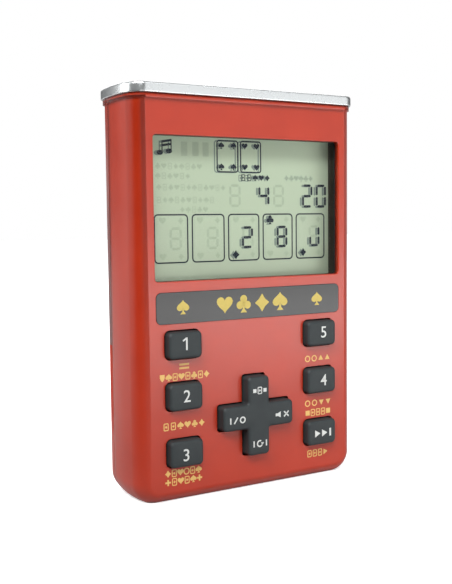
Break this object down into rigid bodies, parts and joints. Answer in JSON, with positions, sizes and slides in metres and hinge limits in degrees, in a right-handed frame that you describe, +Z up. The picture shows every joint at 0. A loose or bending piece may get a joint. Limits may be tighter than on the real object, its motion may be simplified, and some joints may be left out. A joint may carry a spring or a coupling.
{
  "type": "pocket card game",
  "caption": "Upright pocket card game with a recessed segment display, push keys, a rocking cross pad and a sliding battery door.",
  "frame": {"origin": "middle of the flat underside that the case stands on", "axes": "+X to the player's right, -Y out of the face with the keys, +Z up"},
  "size_m": [0.0652, 0.0239, 0.0981],
  "materials": {
    "red_abs": "moulded, polished",
    "silver_cap": "vacuum-plated silver",
    "black_foam": "matte foam tape",
    "clear_window": "clear moulded sheet",
    "dark_frame": "moulded satin",
    "lcd_film": "satin film",
    "lcd_glass": "flat clear",
    "amber_ribbon": "smooth film",
    "strip_film": "printed film",
    "key_rubber": "fine moulded texture",
    "grey_silicone": "moulded silicone",
    "carbon": "matte",
    "board": "lacquered",
    "black_resin": "cast",
    "ceramic": "fired",
    "blue_sleeve": "shrunk film",
    "steel": "zinc plated",
    "nickel_spring": "nickel plated",
    "brass": "rolled",
    "wire_pvc": "extruded"
  },
  "bodies": {
    "case": {"front_case": "red_abs", "rear_case": "red_abs", "top_cap": "silver_cap", "window_gasket": "black_foam", "display_window": "clear_window", "lcd_frame": "dark_frame", "lcd_front_polariser": "lcd_film", "lcd_front_glass": "lcd_glass", "lcd_rear_glass": "lcd_glass", "lcd_reflector": "lcd_film", "lcd_flex": "amber_ribbon", "name_plate": "strip_film", "key_mat": "grey_silicone", "contact_pills": "carbon", "contact_pads": "carbon", "main_board": "board", "chip_blob": "black_resin", "resistors": "ceramic", "capacitors": "blue_sleeve", "crystal": "steel", "board_screws": "steel", "case_screws": "steel", "buzzer_plate": "brass", "buzzer_ceramic": "ceramic", "buzzer_holder": "black_resin", "buzzer_wires": "wire_pvc", "battery_bridge": "nickel_spring", "positive_terminal": "nickel_spring", "negative_terminal": "nickel_spring", "battery_wires": "wire_pvc", "upper_cell": "blue_sleeve", "lower_cell": "blue_sleeve"},
    "key_1": {"key_1": "key_rubber"},
    "key_2": {"key_2": "key_rubber"},
    "key_3": {"key_3": "key_rubber"},
    "key_4": {"key_4": "key_rubber"},
    "key_5": {"key_5": "key_rubber"},
    "key_start": {"key_start": "key_rubber"},
    "pad_pivot": {"pad_pivot": "key_rubber"},
    "pad": {"pad_key": "key_rubber"},
    "battery_door": {"battery_door": "red_abs"}
  },
  "joints": [
    {"name": "key_1_press", "type": "slide", "parent": "case", "child": "key_1", "axis": [0, 1, 0], "range_m": [0, 0.001], "stiffness_N_per_m": 900, "deforming": ["key_mat", "contact_pills"]},
    {"name": "key_2_press", "type": "slide", "parent": "case", "child": "key_2", "axis": [0, 1, 0], "range_m": [0, 0.001], "stiffness_N_per_m": 900, "deforming": ["key_mat", "contact_pills"]},
    {"name": "key_3_press", "type": "slide", "parent": "case", "child": "key_3", "axis": [0, 1, 0], "range_m": [0, 0.001], "stiffness_N_per_m": 900, "deforming": ["key_mat", "contact_pills"]},
    {"name": "key_4_press", "type": "slide", "parent": "case", "child": "key_4", "axis": [0, 1, 0], "range_m": [0, 0.001], "stiffness_N_per_m": 900, "deforming": ["key_mat", "contact_pills"]},
    {"name": "key_5_press", "type": "slide", "parent": "case", "child": "key_5", "axis": [0, 1, 0], "range_m": [0, 0.001], "stiffness_N_per_m": 900, "deforming": ["key_mat", "contact_pills"]},
    {"name": "key_start_press", "type": "slide", "parent": "case", "child": "key_start", "axis": [0, 1, 0], "range_m": [0, 0.001], "stiffness_N_per_m": 900, "deforming": ["key_mat", "contact_pills"]},
    {"name": "pad_up_down", "type": "hinge", "parent": "case", "child": "pad_pivot", "pos_m": [0, -0.00735, 0.0187], "axis": [1, 0, 0], "range_deg": [-3.3, 3.3], "stiffness_Nm_per_rad": 0.12, "deforming": ["key_mat", "contact_pills"]},
    {"name": "pad_left_right", "type": "hinge", "parent": "pad_pivot", "child": "pad", "pos_m": [0, -0.00735, 0.0187], "axis": [0, 0, 1], "range_deg": [-3.3, 3.3], "stiffness_Nm_per_rad": 0.12, "deforming": ["key_mat", "contact_pills"]},
    {"name": "battery_door_slide", "type": "slide", "parent": "case", "child": "battery_door", "axis": [0, 0, -1], "range_m": [0, 0.038]}
  ]
}
